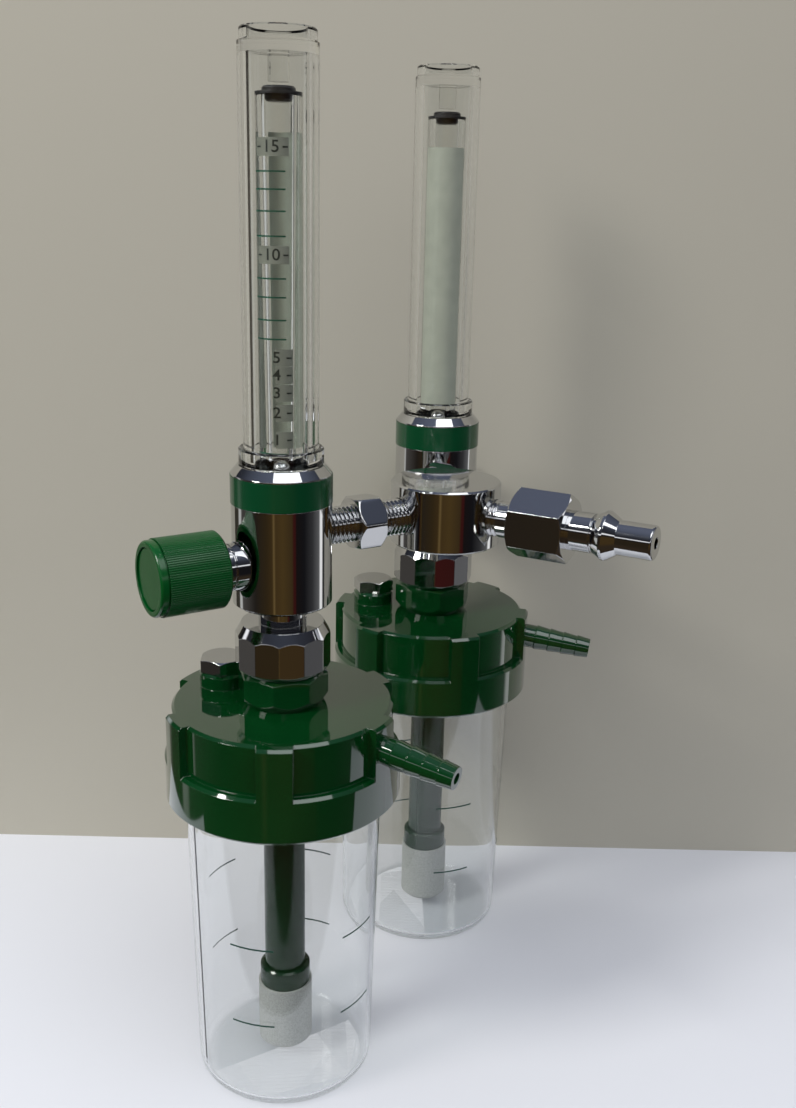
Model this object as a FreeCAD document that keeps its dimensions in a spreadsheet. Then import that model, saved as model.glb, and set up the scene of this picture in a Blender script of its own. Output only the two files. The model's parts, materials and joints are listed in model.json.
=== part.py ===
import FreeCAD, Part
import math
import os
import Sketcher

# Twin oxygen flowmeter: one supply probe feeds a three-way block, and the block carries two units,
# each a metering tube with its needle valve over a humidifier bottle.
# Millimetres, +Z up. The jars stand on Z = 0 and the probe points along +Y.

Vector = FreeCAD.Vector

SIZES = {
    # Clearances, all on the radius or between two faces
    "running_fit": 0.05,
    "thread_gap": 0.1,
    "travel_gap": 0.3,
    # Arrangement, angles in degrees
    "arm_length": 66.0,
    "arm_spread_angle": 120.0,
    "lid_turn_front_angle": 120.0,
    "lid_turn_rear_angle": -103.0,
    # Manifold block
    "block_diameter": 40.0,
    "block_height": 22.7,
    "block_edge": 0.6,
    "pipe_thread_diameter": 13.2,
    "pipe_thread_depth": 9.0,
    "pipe_bore": 6.0,
    "thread_lead": 1.0,
    # Hex nipples between the block and the meters
    "nipple_hex_flats": 17.5,
    "nipple_hex_length": 10.3,
    # Supply probe, lengths along its axis
    "stem_shown": 8.2,
    "stem_engagement": 8.5,
    "probe_hex_flats": 22.0,
    "probe_hex_length": 20.6,
    "probe_neck_diameter": 14.0,
    "probe_neck_length": 8.4,
    "probe_groove_diameter": 12.6,
    "probe_groove_width": 0.9,
    "probe_ridge_diameter": 17.5,
    "probe_ridge_rise": 3.2,
    "probe_ridge_land": 1.0,
    "probe_ridge_fall": 4.0,
    "probe_tip_diameter": 12.2,
    "probe_tip_length": 12.6,
    "probe_bore": 4.2,
    "hex_corner_cut": 1.1,
    "hex_face_inset": 0.15,
    "probe_tip_round": 0.8,
    # Meter body
    "body_diameter": 34.0,
    "body_height": 48.2,
    "body_top_slope": 2.8,
    "body_top_diameter": 29.2,
    "body_edge": 0.7,
    "port_drop": 24.0,
    "valve_rise": 14.8,
    "band_drop": 12.9,
    "band_height": 9.6,
    "band_depth": 0.5,
    "band_proud": 0.15,
    "outlet_bore": 6.0,
    "outlet_bore_depth": 9.5,
    "drill_diameter": 3.2,
    "feed_offset": 4.2,
    "jacket_drill": 1.6,
    # Needle valve, places along its axis from the middle of the body
    "seat_place": 3.0,
    "seat_diameter": 2.4,
    "chamber_diameter": 7.0,
    "gland_inner_place": 10.4,
    "gland_thread_diameter": 12.2,
    "spot_face_place": 15.0,
    "gland_diameter": 16.0,
    "gland_end_place": 23.0,
    "gland_groove": 0.6,
    "stem_diameter": 5.9,
    "stem_waist": 4.4,
    "needle_length": 4.4,
    "needle_tip_diameter": 0.8,
    "stem_end_place": 41.0,
    "stem_seal_width": 1.2,
    "stem_seal_place": 7.0,
    "stem_seal_corner": 0.3,
    # Knob
    "knob_diameter": 26.0,
    "knob_end_place": 47.5,
    "knob_wall": 2.4,
    "knob_web": 2.5,
    "knob_hub_diameter": 12.0,
    "knob_lip_diameter": 25.2,
    "knob_lip_length": 2.6,
    "knob_lip_groove": 0.5,
    "knob_edge": 0.7,
    "knob_lip_round": 0.9,
    "knob_cap_diameter": 20.8,
    "knob_cap_thickness": 1.5,
    "knob_cap_recess": 0.5,
    "flute_count": 104,
    "flute_width": 0.62,
    "flute_depth": 0.28,
    "screw_diameter": 3.0,
    "screw_head_diameter": 6.0,
    "screw_head_height": 1.6,
    "screw_length": 8.0,
    # Clear tubes and what they hold
    "cover_diameter": 25.0,
    "cover_bore": 18.0,
    "cover_height": 127.1,
    "cover_flange_diameter": 28.3,
    "cover_flange_height": 5.6,
    "cover_spigot_diameter": 22.0,
    "cover_spigot_depth": 10.0,
    "cover_rim_diameter": 23.8,
    "cover_rim_height": 4.0,
    "cover_end_recess": 3.3,
    "cover_end_thickness": 3.9,
    "cover_post_diameter": 6.6,
    "cover_post_length": 8.0,
    "clear_edge": 0.5,
    "tube_diameter": 14.5,
    "tube_bore_low": 6.4,
    "tube_bore_high": 9.0,
    "stop_gap": 1.2,
    "stop_disc_thickness": 0.8,
    "stop_boss_height": 1.7,
    "stop_boss_diameter": 10.4,
    "stop_boss_slope": 0.6,
    "stop_plug_length": 2.0,
    "ball_diameter": 6.0,
    "cover_seal_thickness": 1.2,
    "tube_seat_thickness": 2.0,
    "tube_seat_hole": 3.0,
    "pedestal_drop": 6.8,
    "pedestal_pocket_diameter": 11.4,
    "pedestal_pocket_depth": 1.4,
    # Union between the meter and the humidifier
    "neck_length": 7.2,
    "neck_diameter": 16.6,
    "tail_thread_diameter": 15.8,
    "tail_spigot_diameter": 14.0,
    "tail_spigot_length": 8.0,
    "nut_flats": 32.0,
    "nut_sides": 12,
    "nut_height": 17.2,
    "nut_top_diameter": 28.4,
    "nut_top_slope": 4.2,
    "nut_base_diameter": 28.6,
    "nut_base_slope": 2.0,
    "nut_lip_thickness": 3.0,
    "union_seal_thickness": 1.5,
    "inlet_stem_diameter": 12.0,
    "inlet_head_diameter": 15.6,
    "inlet_head_height": 3.0,
    "inlet_lock_diameter": 14.8,
    "inlet_lock_height": 3.0,
    "inlet_spigot_length": 8.0,
    "collar_flats": 29.6,
    "collar_sides": 8,
    "collar_height": 11.9,
    "collar_top_edge": 1.4,
    "collar_base_diameter": 27.0,
    "collar_base_slope": 3.6,
    # Humidifier lid
    "lid_bottom_height": 113.0,
    "lid_diameter": 83.5,
    "lid_wall": 4.1,
    "lid_plate": 3.0,
    "lid_skirt_height": 16.4,
    "lid_upper_height": 18.1,
    "lid_ledge_width": 2.95,
    "lid_edge": 1.0,
    "lug_count": 6,
    "lug_width": 12.0,
    "socket_depth": 10.0,
    "socket_wall": 2.4,
    "gasket_thickness": 2.0,
    # Barbed outlet of the lid, its angle in degrees
    "barb_drop": 9.0,
    "barb_slope_angle": 7.0,
    "barb_reach": 32.5,
    "barb_root_depth": 2.8,
    "barb_root_diameter": 10.6,
    "barb_root_length": 9.5,
    "barb_tip_diameter": 8.8,
    "barb_step": 0.35,
    "barb_count": 4,
    "barb_bore": 4.0,
    # Relief valve on the lid
    "relief_place": 26.0,
    "relief_boss_diameter": 17.0,
    "relief_boss_height": 5.5,
    "relief_chamber_diameter": 10.0,
    "relief_seat_diameter": 5.0,
    "relief_seat_thickness": 2.4,
    "relief_cap_flats": 15.0,
    "relief_cap_height": 5.0,
    "relief_cap_edge": 0.7,
    "relief_cap_spigot": 2.0,
    "relief_cap_roof": 1.6,
    "relief_cap_wall": 1.3,
    "relief_vent_diameter": 1.4,
    "poppet_diameter": 8.4,
    "poppet_thickness": 1.5,
    "poppet_pin_diameter": 2.4,
    "poppet_pin_length": 2.5,
    "spring_diameter": 5.6,
    "spring_wire": 0.7,
    "spring_turns": 4,
    # Jar
    "jar_taper": 2.3,
    "jar_wall": 1.8,
    "jar_floor": 2.4,
    "jar_heel": 4.0,
    "jar_thread_clearance": 0.45,
    "jar_thread_depth": 2.2,
    "jar_thread_height": 1.6,
    "jar_thread_slope": 0.4,
    "jar_thread_spacing": 4.2,
    "jar_thread_below_rim": 3.0,
    # Dip tube and diffuser
    "dip_tube_diameter": 15.0,
    "dip_tube_wall": 2.0,
    "diffuser_height": 25.5,
    "diffuser_bottom": 7.0,
    "diffuser_diameter": 20.0,
    "diffuser_wall": 5.9,
    "diffuser_edge": 1.6,
    "diffuser_bore_depth": 14.0,
    "diffuser_collar_diameter": 18.6,
    "diffuser_collar_height": 7.6,
    "diffuser_collar_edge": 0.8,
    "diffuser_collar_floor": 3.0,
    "diffuser_collar_spigot": 6.0,
    "diffuser_collar_bore": 3.6,
}

SHEET = "Sizes"
SAME_PLACE = 0.001
UNITS = ("a", "b")


class Length:
    """A value that keeps its number and the sheet formula it comes from."""

    def __init__(self, value, text):
        self.value = value
        self.text = text

    def join(self, other, sign, value):
        return Length(value, "(" + self.text + " " + sign + " " + other.text + ")")

    def __add__(self, other):
        other = as_length(other)
        return self.join(other, "+", self.value + other.value)

    def __sub__(self, other):
        other = as_length(other)
        return self.join(other, "-", self.value - other.value)

    def __mul__(self, other):
        other = as_length(other)
        return self.join(other, "*", self.value * other.value)

    def __truediv__(self, other):
        other = as_length(other)
        return self.join(other, "/", self.value / other.value)

    def __rsub__(self, other):
        return as_length(other) - self

    def __neg__(self):
        return as_length(0) - self


def as_length(item):
    """Plain numbers become lengths of their own."""
    if isinstance(item, Length):
        return item
    return Length(float(item), repr(float(item)))


def cosine(angle):
    angle = as_length(angle)
    return Length(math.cos(math.radians(angle.value)), "cos(" + angle.text + " * 1 deg)")


def sine(angle):
    angle = as_length(angle)
    return Length(math.sin(math.radians(angle.value)), "sin(" + angle.text + " * 1 deg)")


class Sheet:
    """The driving sizes: read as attributes, each a Length that names its cell."""

    def __init__(self, document, sizes):
        self.cells = document.addObject("Spreadsheet::Sheet", SHEET)
        self.sizes = sizes
        for row, (alias, value) in enumerate(sizes.items(), start=1):
            self.cells.set("A" + str(row), alias)
            self.cells.set("B" + str(row), str(value))
            self.cells.setAlias("B" + str(row), alias)

    def __getattr__(self, alias):
        return Length(float(self.sizes[alias]), SHEET + "." + alias)

    def count(self, alias):
        return int(self.sizes[alias])


class Spot:
    """Where a piece sits: a point and a turn about the vertical, in degrees."""

    def __init__(self, x, y, z, turn=0):
        self.x = as_length(x)
        self.y = as_length(y)
        self.z = as_length(z)
        self.turn = as_length(turn)

    def at_height(self, z):
        return Spot(self.x, self.y, z, self.turn)

    def turned(self, turn):
        return Spot(self.x, self.y, self.z, self.turn + turn)


doc = FreeCAD.newDocument("twin_flowmeter")
size = Sheet(doc, SIZES)
doc.recompute()
nodes = []


# Shared ways of making a piece

def settle(item, spot):
    """Puts a piece at its spot and ties the spot to the sheet."""
    item.Placement = FreeCAD.Placement(
        Vector(spot.x.value, spot.y.value, spot.z.value),
        FreeCAD.Rotation(Vector(0, 0, 1), spot.turn.value))
    item.setExpression("Placement.Base.x", spot.x.text)
    item.setExpression("Placement.Base.y", spot.y.text)
    item.setExpression("Placement.Base.z", spot.z.text)


def new_body(label, spot):
    body = doc.addObject("PartDesign::Body", label)
    body.Label = label
    settle(body, spot)
    nodes.append(body)
    return body


def origin_item(body, role):
    """An origin plane or axis of the body."""
    for item in body.Origin.OriginFeatures:
        if item.Role == role:
            return item
    raise ValueError("no origin item " + role)


def new_sketch(body, plane, shift=(0, 0), lift=0, tilt=0):
    """A sketch on an origin plane, shifted in the plane, lifted off it and tilted in it."""
    sketch = body.newObject("Sketcher::SketchObject", body.Label + "_sketch")
    sketch.AttachmentSupport = [(origin_item(body, plane), "")]
    sketch.MapMode = "FlatFace"
    across, up, off = as_length(shift[0]), as_length(shift[1]), as_length(lift)
    sketch.AttachmentOffset = FreeCAD.Placement(
        Vector(across.value, up.value, off.value),
        FreeCAD.Rotation(Vector(0, 0, 1), as_length(tilt).value))
    sketch.setExpression("AttachmentOffset.Base.x", across.text)
    sketch.setExpression("AttachmentOffset.Base.y", up.text)
    sketch.setExpression("AttachmentOffset.Base.z", off.text)
    return sketch


def hold(sketch, direction, vertex, place):
    """Ties one coordinate of a sketch point to the sheet."""
    geometry, point = vertex
    if place.text == as_length(0).text:
        axis = -2 if direction == "DistanceX" else -1
        sketch.addConstraint(Sketcher.Constraint("PointOnObject", geometry, point, axis))
        return
    index = sketch.addConstraint(
        Sketcher.Constraint(direction, -1, 1, geometry, point, place.value))
    sketch.setExpression("Constraints[" + str(index) + "]", place.text)


def draw_outline(sketch, corners):
    """A closed outline of straight edges, every corner held by the sheet."""
    corners = [(as_length(x), as_length(y)) for x, y in corners]
    count = len(corners)
    points = [Vector(x.value, y.value, 0) for x, y in corners]
    for index in range(count):
        sketch.addGeometry(Part.LineSegment(points[index], points[(index + 1) % count]), False)
    for index in range(count):
        sketch.addConstraint(Sketcher.Constraint("Coincident", index, 2, (index + 1) % count, 1))
    for index, (x, y) in enumerate(corners):
        hold(sketch, "DistanceX", (index, 1), x)
        hold(sketch, "DistanceY", (index, 1), y)


def draw_circle(sketch, place, radius):
    """A circle centred on the sketch's horizontal axis."""
    place, radius = as_length(place), as_length(radius)
    circle = Part.Circle(Vector(place.value, 0, 0), Vector(0, 0, 1), radius.value)
    sketch.addGeometry(circle, False)
    hold(sketch, "DistanceX", (0, 3), place)
    hold(sketch, "DistanceY", (0, 3), as_length(0))
    index = sketch.addConstraint(Sketcher.Constraint("Radius", 0, radius.value))
    sketch.setExpression("Constraints[" + str(index) + "]", radius.text)


def turn(body, corners, axis="V_Axis", shift=(0, 0), tilt=0, cut=False):
    """Revolves an outline about the sketch's own axis, as material or as a cut."""
    sketch = new_sketch(body, "XZ_Plane", shift, 0, tilt)
    draw_outline(sketch, corners)
    kind = "PartDesign::Groove" if cut else "PartDesign::Revolution"
    feature = body.newObject(kind, body.Label + "_turning")
    feature.Profile = sketch
    feature.ReferenceAxis = (sketch, [axis])
    feature.Angle = 360
    return feature


def polygon(flats, sides, first_angle=0):
    """Corners of a regular polygon, given its size across flats."""
    radius = flats / 2 / math.cos(math.pi / sides)
    step = 360 / sides
    return [
        (radius * math.cos(math.radians(first_angle + step * index)),
         radius * math.sin(math.radians(first_angle + step * index)))
        for index in range(sides)]


def extrude(body, plane, corners, length, lift=0):
    """Pads an outline along the plane's normal, starting lifted off the plane."""
    sketch = new_sketch(body, plane, (0, 0), lift)
    draw_outline(sketch, corners)
    pad = body.newObject("PartDesign::Pad", body.Label + "_pad")
    pad.Profile = sketch
    pad.Length = length.value
    pad.setExpression("Length", length.text)
    return pad


def repeat(body, feature, axis_role, count):
    """Repeats a feature evenly about one of the body's axes."""
    pattern = body.newObject("PartDesign::PolarPattern", body.Label + "_pattern")
    pattern.Originals = [feature]
    pattern.Axis = (origin_item(body, axis_role), [""])
    pattern.Angle = 360
    pattern.Occurrences = count
    body.Tip = pattern
    return pattern


def bevel(body, start, end, inner, outer, axis="V_Axis"):
    """Cuts the corners of a polygon back to a cone from outer at start to inner at end."""
    beyond = outer * 2 - inner
    if axis == "V_Axis":
        corners = [(inner, end), (beyond, end), (beyond, start), (outer, start)]
    else:
        corners = [(end, inner), (end, beyond), (start, beyond), (start, outer)]
    return turn(body, corners, axis, cut=True)


def round_rims(body, feature, radius, rims):
    """Rounds turned edges, each given by its radius and its place along the turning axis."""
    doc.recompute()
    names = []
    for index, edge in enumerate(feature.Shape.Edges, start=1):
        if not isinstance(edge.Curve, Part.Circle):
            continue
        # The centre lies on the turning axis, so only its place along that axis is not zero
        place = edge.Curve.Center.x + edge.Curve.Center.z
        for rim, spot in rims:
            off = abs(edge.Curve.Radius - rim.value) + abs(place - spot.value)
            if off < SAME_PLACE:
                names.append("Edge" + str(index))
    fillet = body.newObject("PartDesign::Fillet", body.Label + "_fillet")
    fillet.Base = (feature, names)
    fillet.Radius = radius.value
    fillet.setExpression("Radius", radius.text)
    return fillet


def ring(label, inner, outer, height, spot):
    """A flat ring cut from two cylinders."""
    shapes = []
    for name, radius in (("_rim", outer), ("_hole", inner)):
        cylinder = doc.addObject("Part::Cylinder", label + name)
        cylinder.setExpression("Radius", radius.text)
        cylinder.setExpression("Height", height.text)
        settle(cylinder, spot)
        shapes.append(cylinder)
    cut = doc.addObject("Part::Cut", label)
    cut.Base, cut.Tool = shapes
    return cut


def group(label, items):
    """Identical pieces of the two units, kept as separate solids of one node."""
    bundle = doc.addObject("Part::Compound", label)
    bundle.Label = label
    bundle.Links = items
    nodes.append(bundle)


# Heights above the table, from the jar upwards

lid_bottom = size.lid_bottom_height
ledge = lid_bottom + size.lid_skirt_height
lid_top = ledge + size.lid_upper_height
lid_ceiling = lid_top - size.lid_plate
collar_top = lid_top + size.collar_height
nut_top = collar_top + size.nut_height
body_bottom = nut_top + size.neck_length
valve_axis = body_bottom + size.valve_rise
body_top = body_bottom + size.body_height
port_axis = body_top - size.port_drop
cover_top = body_top + size.cover_flange_height + size.cover_height
jar_rim = ledge - size.gasket_thickness - size.travel_gap
relief_boss_top = lid_top + size.relief_boss_height
pedestal_top = body_top - size.pedestal_drop
tube_foot = pedestal_top + size.tube_seat_thickness

# Radii shared by pieces that fit each other

body_radius = size.body_diameter / 2
block_radius = size.block_diameter / 2
lid_radius = size.lid_diameter / 2
lid_bore = lid_radius - size.lid_wall
lid_upper_radius = lid_radius - size.lid_ledge_width
barb_root_place = lid_upper_radius - size.barb_root_depth
jar_thread_radius = lid_bore - size.jar_thread_clearance
jar_top_radius = jar_thread_radius - size.jar_thread_depth
jar_base_radius = jar_top_radius - size.jar_taper
jar_mouth = jar_top_radius - size.jar_wall
thread_radius = size.pipe_thread_diameter / 2
port_radius = thread_radius + size.thread_gap
pipe_bore_radius = size.pipe_bore / 2
stem_radius = size.stem_diameter / 2
tube_radius = size.tube_diameter / 2
cover_bore = size.cover_bore / 2
inlet_stem_radius = size.inlet_stem_diameter / 2
inlet_hole = inlet_stem_radius + size.thread_gap
dip_tube_radius = size.dip_tube_diameter / 2
dip_tube_bore = dip_tube_radius - size.dip_tube_wall
relief_pocket = size.relief_chamber_diameter / 2 - size.thread_gap - size.relief_cap_wall

# Plan: the block's axis lies on X = 0, and Y is centred between the probe's tip and the lids

probe_hex_start = block_radius + size.stem_shown
probe_neck_start = probe_hex_start + size.probe_hex_length
probe_ridge_start = probe_neck_start + size.probe_neck_length + size.probe_groove_width
probe_ridge_end = (probe_ridge_start + size.probe_ridge_rise + size.probe_ridge_land
                   + size.probe_ridge_fall)
probe_reach = probe_ridge_end + size.probe_tip_length
probe_turn = as_length(90)
unit_turns = {"a": probe_turn - size.arm_spread_angle, "b": probe_turn + size.arm_spread_angle}
lid_turns = {"a": size.lid_turn_front_angle, "b": size.lid_turn_rear_angle}
unit_reach = -(size.arm_length * sine(unit_turns["a"]))
block_y = (lid_radius + unit_reach - probe_reach) / 2


def unit_spot(tag, z):
    """A unit's axis at height z, its local +X pointing away from the block."""
    heading = unit_turns[tag]
    return Spot(size.arm_length * cosine(heading),
                block_y + size.arm_length * sine(heading), z, heading)


def block_spot(z, heading):
    return Spot(0, block_y, z, heading)


# The block and what is screwed into it

def manifold_block():
    body = new_body("manifold_block", block_spot(port_axis - size.block_height / 2, probe_turn))
    edge = size.block_edge
    turn(body, [(0, 0), (block_radius - edge, 0), (block_radius, edge),
                (block_radius, size.block_height - edge),
                (block_radius - edge, size.block_height), (0, size.block_height)])
    floor = block_radius - size.pipe_thread_depth - size.travel_gap
    port = turn(body, [(0, 0), (0, pipe_bore_radius), (floor, pipe_bore_radius), (floor, port_radius),
                       (block_radius + edge, port_radius), (block_radius + edge, 0)],
                "H_Axis", (0, size.block_height / 2), cut=True)
    repeat(body, port, "Z_Axis", len(UNITS) + 1)


def hex_nipple(tag):
    """Male thread at both ends, modelled plain at the thread's outer size."""
    body = new_body("hex_nipple_" + tag, block_spot(port_axis, unit_turns[tag]))
    inner = block_radius - size.pipe_thread_depth
    outer = size.arm_length - body_radius + size.pipe_thread_depth
    middle = (block_radius + size.arm_length - body_radius) / 2
    hex_start = middle - size.nipple_hex_length / 2
    hex_end = middle + size.nipple_hex_length / 2
    lead = size.thread_lead
    extrude(body, "YZ_Plane", polygon(size.nipple_hex_flats, 6), size.nipple_hex_length, hex_start)
    cut_hex_corners(body, size.nipple_hex_flats, hex_start, hex_end)
    turn(body, [(inner, 0), (inner, thread_radius - lead), (inner + lead, thread_radius),
                (outer - lead, thread_radius), (outer, thread_radius - lead), (outer, 0)], "H_Axis")
    turn(body, [(inner, 0), (inner, pipe_bore_radius), (outer, pipe_bore_radius), (outer, 0)],
         "H_Axis", cut=True)


def cut_hex_corners(body, flats, start, end):
    """Chamfers both ends of a hexagon that lies along the local X."""
    corner = flats / 2 / math.cos(math.pi / 6)
    inner = flats / 2 - size.hex_face_inset
    bevel(body, start + size.hex_corner_cut, start, inner, corner, "H_Axis")
    bevel(body, end - size.hex_corner_cut, end, inner, corner, "H_Axis")


def probe_stem():
    body = new_body("probe_stem", block_spot(port_axis, probe_turn))
    inner = block_radius - size.pipe_thread_depth
    outer = probe_hex_start + size.stem_engagement
    lead = size.thread_lead
    turn(body, [(inner, pipe_bore_radius), (inner, thread_radius - lead), (inner + lead, thread_radius),
                (outer - lead, thread_radius), (outer, thread_radius - lead),
                (outer, pipe_bore_radius)], "H_Axis")


def probe_body():
    """Hexagon, neck and locking ridge, turned from one bar."""
    body = new_body("probe_body", block_spot(port_axis, probe_turn))
    extrude(body, "YZ_Plane", polygon(size.probe_hex_flats, 6), size.probe_hex_length, probe_hex_start)
    cut_hex_corners(body, size.probe_hex_flats, probe_hex_start, probe_neck_start)
    neck = size.probe_neck_diameter / 2
    groove = size.probe_groove_diameter / 2
    ridge = size.probe_ridge_diameter / 2
    tip = size.probe_tip_diameter / 2
    groove_start = probe_neck_start + size.probe_neck_length
    ridge_land = probe_ridge_start + size.probe_ridge_rise
    root = probe_neck_start - size.hex_corner_cut
    shaft = turn(body, [(root, 0), (root, neck), (groove_start, neck),
                        (groove_start, groove), (probe_ridge_start, groove), (probe_ridge_start, neck),
                        (ridge_land, ridge), (ridge_land + size.probe_ridge_land, ridge),
                        (probe_ridge_end, tip), (probe_reach, tip), (probe_reach, 0)], "H_Axis")
    round_rims(body, shaft, size.probe_tip_round, [(tip, probe_reach)])
    thread_end = probe_hex_start + size.stem_engagement + size.travel_gap
    bore = size.probe_bore / 2
    turn(body, [(probe_hex_start, 0), (probe_hex_start, port_radius), (thread_end, port_radius),
                (thread_end, bore), (probe_reach, bore), (probe_reach, 0)], "H_Axis", cut=True)


# The flowmeter: body, clear tubes, needle valve and knob

def meter_body(tag):
    body = new_body("meter_body_" + tag, unit_spot(tag, body_bottom))
    top = size.body_height
    edge = size.body_edge
    band_radius = body_radius - size.band_depth
    band_start = top - size.band_drop
    band_end = band_start + size.band_height
    turn(body, [(0, 0), (body_radius - edge, 0), (body_radius, edge), (body_radius, band_start),
                (band_radius, band_start), (band_radius, band_end), (body_radius, band_end),
                (body_radius, top - size.body_top_slope), (size.body_top_diameter / 2, top), (0, top)])
    # Socket of the clear cover, around the pedestal that carries the metering tube
    socket = size.cover_spigot_diameter / 2 + size.thread_gap
    socket_floor = top - size.cover_spigot_depth - size.cover_seal_thickness
    pocket = size.pedestal_pocket_diameter / 2
    pedestal = top - size.pedestal_drop
    pocket_floor = pedestal - size.pedestal_pocket_depth
    turn(body, [(0, pocket_floor), (pocket, pocket_floor), (pocket, pedestal),
                (tube_radius, pedestal), (tube_radius, socket_floor), (socket, socket_floor),
                (socket, top), (0, top)], cut=True)
    # Outlet: tail socket, bore and drilling up to the valve seat
    tail = size.tail_spigot_diameter / 2 + size.thread_gap
    tail_end = size.tail_spigot_length + size.thread_gap
    drill = size.drill_diameter / 2
    turn(body, [(0, 0), (tail, 0), (tail, tail_end), (size.outlet_bore / 2, tail_end),
                (size.outlet_bore / 2, size.outlet_bore_depth), (drill, size.outlet_bore_depth),
                (drill, size.valve_rise + drill), (0, size.valve_rise + drill)], cut=True)
    # Inlet port towards the block and the drilling that feeds the jacket round the metering tube
    port_floor = body_radius - size.pipe_thread_depth - size.travel_gap
    port_height = top - size.port_drop
    turn(body, [(-body_radius - edge, 0), (-body_radius - edge, port_radius),
                (-port_floor, port_radius), (-port_floor, 0)], "H_Axis", (0, port_height), cut=True)
    jacket = size.jacket_drill / 2
    jacket_place = tube_radius + jacket + size.thread_gap
    turn(body, [(0, port_height), (jacket, port_height), (jacket, socket_floor + jacket),
                (0, socket_floor + jacket)], shift=(-jacket_place, 0), cut=True)
    # Drilling from the metering tube down to the valve chamber
    turn(body, [(0, size.valve_rise), (drill, size.valve_rise), (drill, pocket_floor + drill),
                (0, pocket_floor + drill)], shift=(size.seat_place + size.feed_offset, 0), cut=True)
    # Valve bore: seat, chamber, gland thread and spot face
    gland = size.gland_thread_diameter / 2 + size.thread_gap
    face = size.gland_diameter / 2 + size.travel_gap
    turn(body, [(0, 0), (0, size.seat_diameter / 2), (size.seat_place, size.seat_diameter / 2),
                (size.seat_place, size.chamber_diameter / 2),
                (size.gland_inner_place, size.chamber_diameter / 2), (size.gland_inner_place, gland),
                (size.spot_face_place, gland), (size.spot_face_place, face),
                (body_radius + edge, face), (body_radius + edge, 0)],
         "H_Axis", (0, size.valve_rise), cut=True)


def colour_band(tag):
    body = new_body("colour_band_" + tag, unit_spot(tag, body_top - size.band_drop))
    inner = body_radius - size.band_depth + size.running_fit
    outer = body_radius + size.band_proud
    gap = size.running_fit
    turn(body, [(inner, gap), (outer, gap), (outer, size.band_height - gap),
                (inner, size.band_height - gap)])


def tube_cover(tag):
    """Clear outer tube: spigot, flange, barrel, stepped end and the post that holds the stop."""
    body = new_body("tube_cover_" + tag, unit_spot(tag, body_top - size.cover_spigot_depth))
    edge = size.clear_edge
    spigot = size.cover_spigot_diameter / 2
    flange = size.cover_flange_diameter / 2
    barrel = size.cover_diameter / 2
    rim = size.cover_rim_diameter / 2
    post = size.cover_post_diameter / 2
    seat = size.cover_spigot_depth
    flange_top = seat + size.cover_flange_height
    top = flange_top + size.cover_height
    recess = top - size.cover_end_recess
    roof = recess - size.cover_end_thickness
    turn(body, [(cover_bore, 0), (spigot - edge, 0), (spigot, edge), (spigot, seat),
                (flange - edge, seat), (flange, seat + edge), (flange, flange_top - edge),
                (flange - edge, flange_top), (barrel, flange_top), (barrel, top - size.cover_rim_height),
                (rim, top - size.cover_rim_height), (rim, top - edge), (rim - edge, top),
                (cover_bore, top), (cover_bore, recess), (0, recess),
                (0, roof - size.cover_post_length), (post, roof - size.cover_post_length), (post, roof),
                (cover_bore, roof)])


def metering_tube(tag):
    """Clear tube whose bore widens upwards, so the ball rises further at a higher flow."""
    body = new_body("metering_tube_" + tag, unit_spot(tag, tube_foot))
    length = stop_bottom() - tube_foot
    turn(body, [(size.tube_bore_low / 2, 0), (tube_radius, 0), (tube_radius, length),
                (size.tube_bore_high / 2, length)])


def stop_bottom():
    """Height of the stop's disc, which lies on the metering tube under the cover's post."""
    post_end = (cover_top - size.cover_end_recess - size.cover_end_thickness
                - size.cover_post_length)
    return post_end - size.stop_gap - size.stop_boss_height - size.stop_disc_thickness


def tube_stop(tag):
    """Plug in the metering tube's bore, with a thin disc over the tube and a low boss on top."""
    body = new_body("tube_stop_" + tag, unit_spot(tag, stop_bottom()))
    disc = size.stop_disc_thickness
    boss = size.stop_boss_diameter / 2
    top = disc + size.stop_boss_height
    slope = size.stop_boss_slope
    plug = size.tube_bore_high / 2 - size.travel_gap
    plug_end = -size.stop_plug_length
    turn(body, [(0, plug_end), (plug - slope, plug_end), (plug, plug_end + slope), (plug, 0),
                (tube_radius, 0), (tube_radius, disc), (boss, disc), (boss, top - slope),
                (boss - slope, top), (0, top)])


def float_ball(tag):
    ball = doc.addObject("Part::Sphere", "float_ball_" + tag)
    ball.Label = "float_ball_" + tag
    ball.setExpression("Radius", (size.ball_diameter / 2).text)
    settle(ball, unit_spot(tag, tube_foot + size.travel_gap + size.ball_diameter / 2))
    nodes.append(ball)


def valve_gland(tag):
    body = new_body("valve_gland_" + tag, unit_spot(tag, valve_axis))
    bore = stem_radius + size.running_fit
    thread = size.gland_thread_diameter / 2
    head = size.gland_diameter / 2
    start = size.gland_inner_place + size.thread_gap
    edge = size.gland_groove
    groove = (size.spot_face_place + size.gland_end_place) / 2 + edge
    turn(body, [(start, bore), (start, thread - edge), (start + edge, thread),
                (size.spot_face_place, thread), (size.spot_face_place, head), (groove, head),
                (groove, head - edge), (groove + edge, head - edge), (groove + edge, head),
                (size.gland_end_place - edge, head), (size.gland_end_place, head - edge),
                (size.gland_end_place, bore)], "H_Axis")


def stem_seal_groove():
    """Where the seal's groove starts and ends along the valve axis."""
    gap = size.thread_gap
    return size.stem_seal_place - gap, size.stem_seal_place + size.stem_seal_width + gap


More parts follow.
